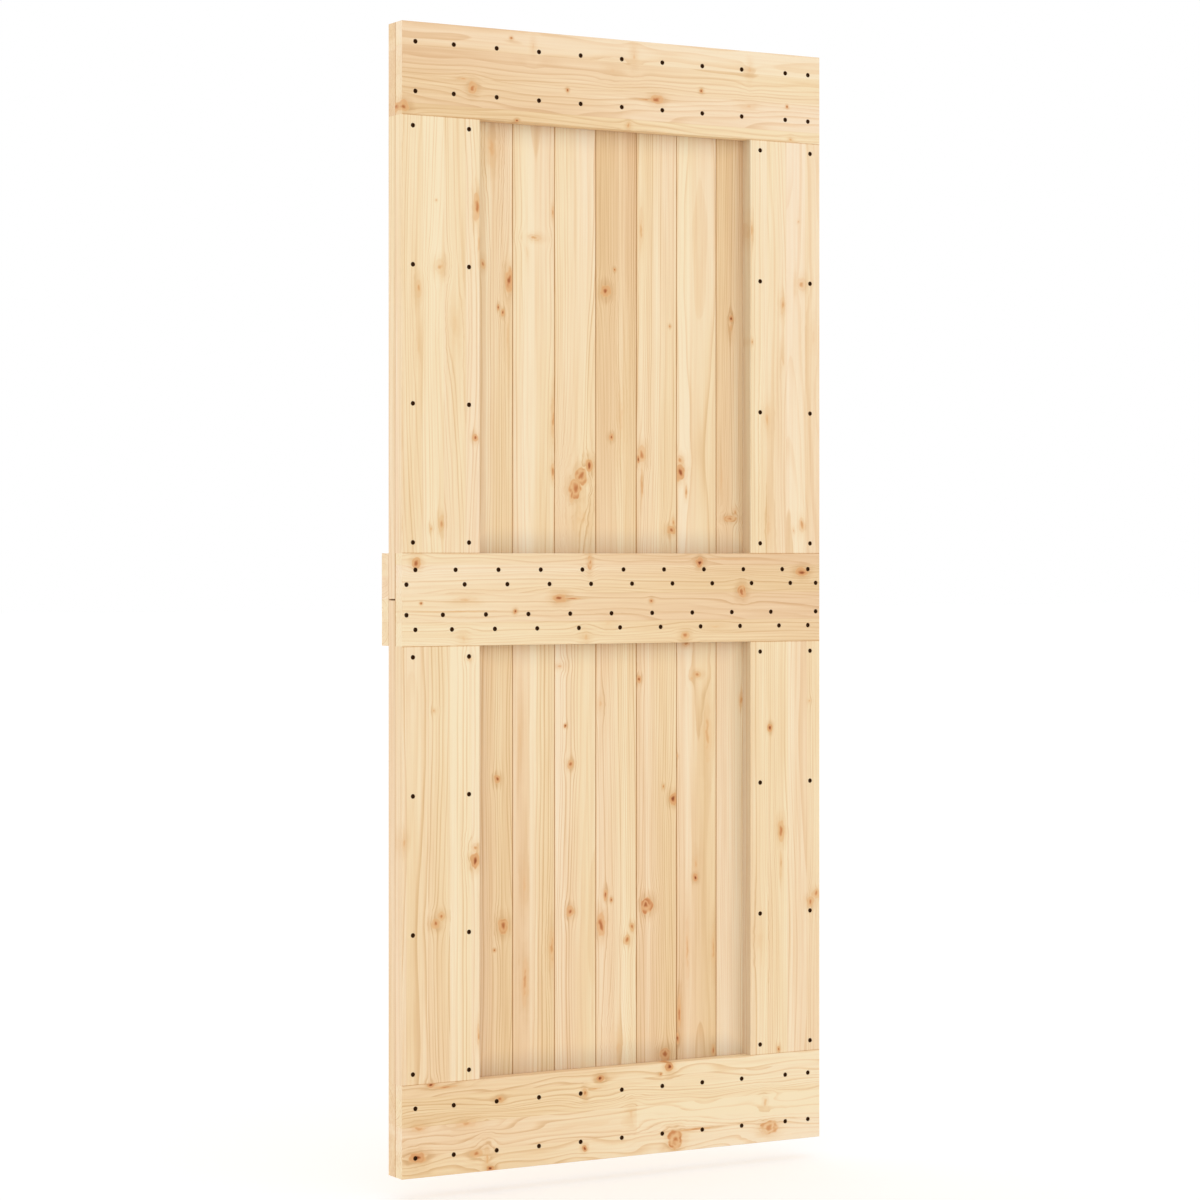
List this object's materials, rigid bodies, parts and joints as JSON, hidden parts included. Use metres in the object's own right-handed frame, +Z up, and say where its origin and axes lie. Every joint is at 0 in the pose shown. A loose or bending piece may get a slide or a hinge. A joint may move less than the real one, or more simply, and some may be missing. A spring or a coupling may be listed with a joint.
{
  "type": "plank door leaf",
  "caption": "Flat door leaf of bare softwood that hangs from its top edge: a face frame of rails and stiles screwed over vertical tongued planks, with a ledge across the back.",
  "frame": {"origin": "middle of the leaf's top edge, half-way through the face frame and the planks, where a hanger holds it", "axes": "+Z up the leaf, +X across it to the right as the framed face is seen, +Y from the framed face to the back"},
  "size_m": [0.9, 0.083, 2.085],
  "materials": {
    "pine_frame": "planed bare pine with knots",
    "pine_plank": "planed bare pine with knots"
  },
  "bodies": {
    "root": {"top_rail": "pine_frame", "middle_rail": "pine_frame", "bottom_rail": "pine_frame", "middle_ledge": "pine_frame", "upper_left_stile": "pine_frame", "upper_right_stile": "pine_frame", "lower_left_stile": "pine_frame", "lower_right_stile": "pine_frame", "top_core_rail": "pine_plank", "bottom_core_rail": "pine_plank", "upper_plank_01": "pine_plank", "upper_plank_02": "pine_plank", "upper_plank_03": "pine_plank", "upper_plank_04": "pine_plank", "upper_plank_05": "pine_plank", "upper_plank_06": "pine_plank", "upper_plank_07": "pine_plank", "upper_plank_08": "pine_plank", "upper_plank_09": "pine_plank", "upper_plank_10": "pine_plank", "upper_plank_11": "pine_plank", "lower_plank_01": "pine_plank", "lower_plank_02": "pine_plank", "lower_plank_03": "pine_plank", "lower_plank_04": "pine_plank", "lower_plank_05": "pine_plank", "lower_plank_06": "pine_plank", "lower_plank_07": "pine_plank", "lower_plank_08": "pine_plank", "lower_plank_09": "pine_plank", "lower_plank_10": "pine_plank", "lower_plank_11": "pine_plank"}
  },
  "joints": []
}
